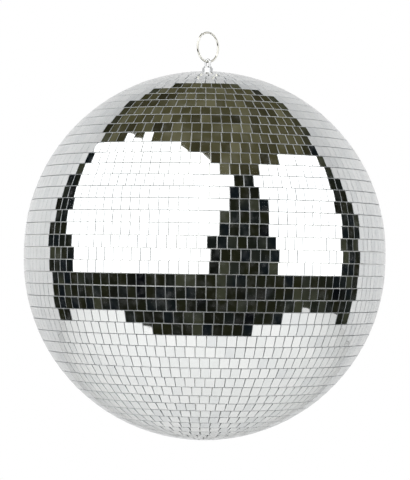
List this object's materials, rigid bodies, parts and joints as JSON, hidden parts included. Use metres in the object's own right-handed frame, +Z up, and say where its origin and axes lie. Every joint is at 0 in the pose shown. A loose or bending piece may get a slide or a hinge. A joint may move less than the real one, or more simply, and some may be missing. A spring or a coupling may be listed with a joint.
{
  "type": "mirror ball",
  "caption": "Hanging mirror ball: a hollow two-part ball covered in rows of small flat mirrors, hung by an eye bolt from a free wire ring.",
  "frame": {"origin": "the hanging point: inside the top of the wire ring, on the ball's vertical axis", "axes": "+Z up along the ball's vertical axis; the ring lies in the XZ plane and the eye of the bolt in the YZ plane"},
  "size_m": [0.3051, 0.305, 0.3449],
  "materials": {
    "mirror_glass": "polished",
    "white_backing": "matt",
    "shell_plastic": "matt",
    "nickel_wire": "polished",
    "zinc_steel": "bright zinc",
    "spring_steel": "satin"
  },
  "bodies": {
    "ring": {"hanging_ring": "nickel_wire"},
    "ball": {"eye_bolt": "zinc_steel", "lock_nut": "zinc_steel", "outer_washer": "zinc_steel", "load_plate": "zinc_steel", "inner_washer": "zinc_steel", "spring_washer": "spring_steel", "inner_nut": "zinc_steel", "jam_nut": "zinc_steel", "upper_shell": "shell_plastic", "lower_shell": "shell_plastic", "joint_hoop": "shell_plastic", "upper_backing": "white_backing", "lower_backing": "white_backing", "row_equator": "mirror_glass", "row_above_1": "mirror_glass", "row_above_2": "mirror_glass", "row_above_3": "mirror_glass", "row_above_4": "mirror_glass", "row_above_5": "mirror_glass", "row_above_6": "mirror_glass", "row_above_7": "mirror_glass", "row_above_8": "mirror_glass", "row_above_9": "mirror_glass", "row_above_10": "mirror_glass", "row_above_11": "mirror_glass", "row_above_12": "mirror_glass", "row_above_13": "mirror_glass", "row_above_14": "mirror_glass", "row_above_15": "mirror_glass", "row_above_16": "mirror_glass", "row_above_17": "mirror_glass", "row_above_18": "mirror_glass", "row_above_19": "mirror_glass", "row_above_20": "mirror_glass", "row_below_1": "mirror_glass", "row_below_2": "mirror_glass", "row_below_3": "mirror_glass", "row_below_4": "mirror_glass", "row_below_5": "mirror_glass", "row_below_6": "mirror_glass", "row_below_7": "mirror_glass", "row_below_8": "mirror_glass", "row_below_9": "mirror_glass", "row_below_10": "mirror_glass", "row_below_11": "mirror_glass", "row_below_12": "mirror_glass", "row_below_13": "mirror_glass", "row_below_14": "mirror_glass", "row_below_15": "mirror_glass", "row_below_16": "mirror_glass", "row_below_17": "mirror_glass", "row_below_18": "mirror_glass", "row_below_19": "mirror_glass", "row_below_20": "mirror_glass", "rows_top_pole": "mirror_glass", "rows_bottom_pole": "mirror_glass", "pole_mirror": "mirror_glass"}
  },
  "joints": [
    {"name": "ball_swing", "type": "hinge", "parent": "ring", "child": "ball", "pos_m": [0, 0, -0.0241], "axis": [1, 0, 0], "range_deg": [-100, 100]}
  ]
}
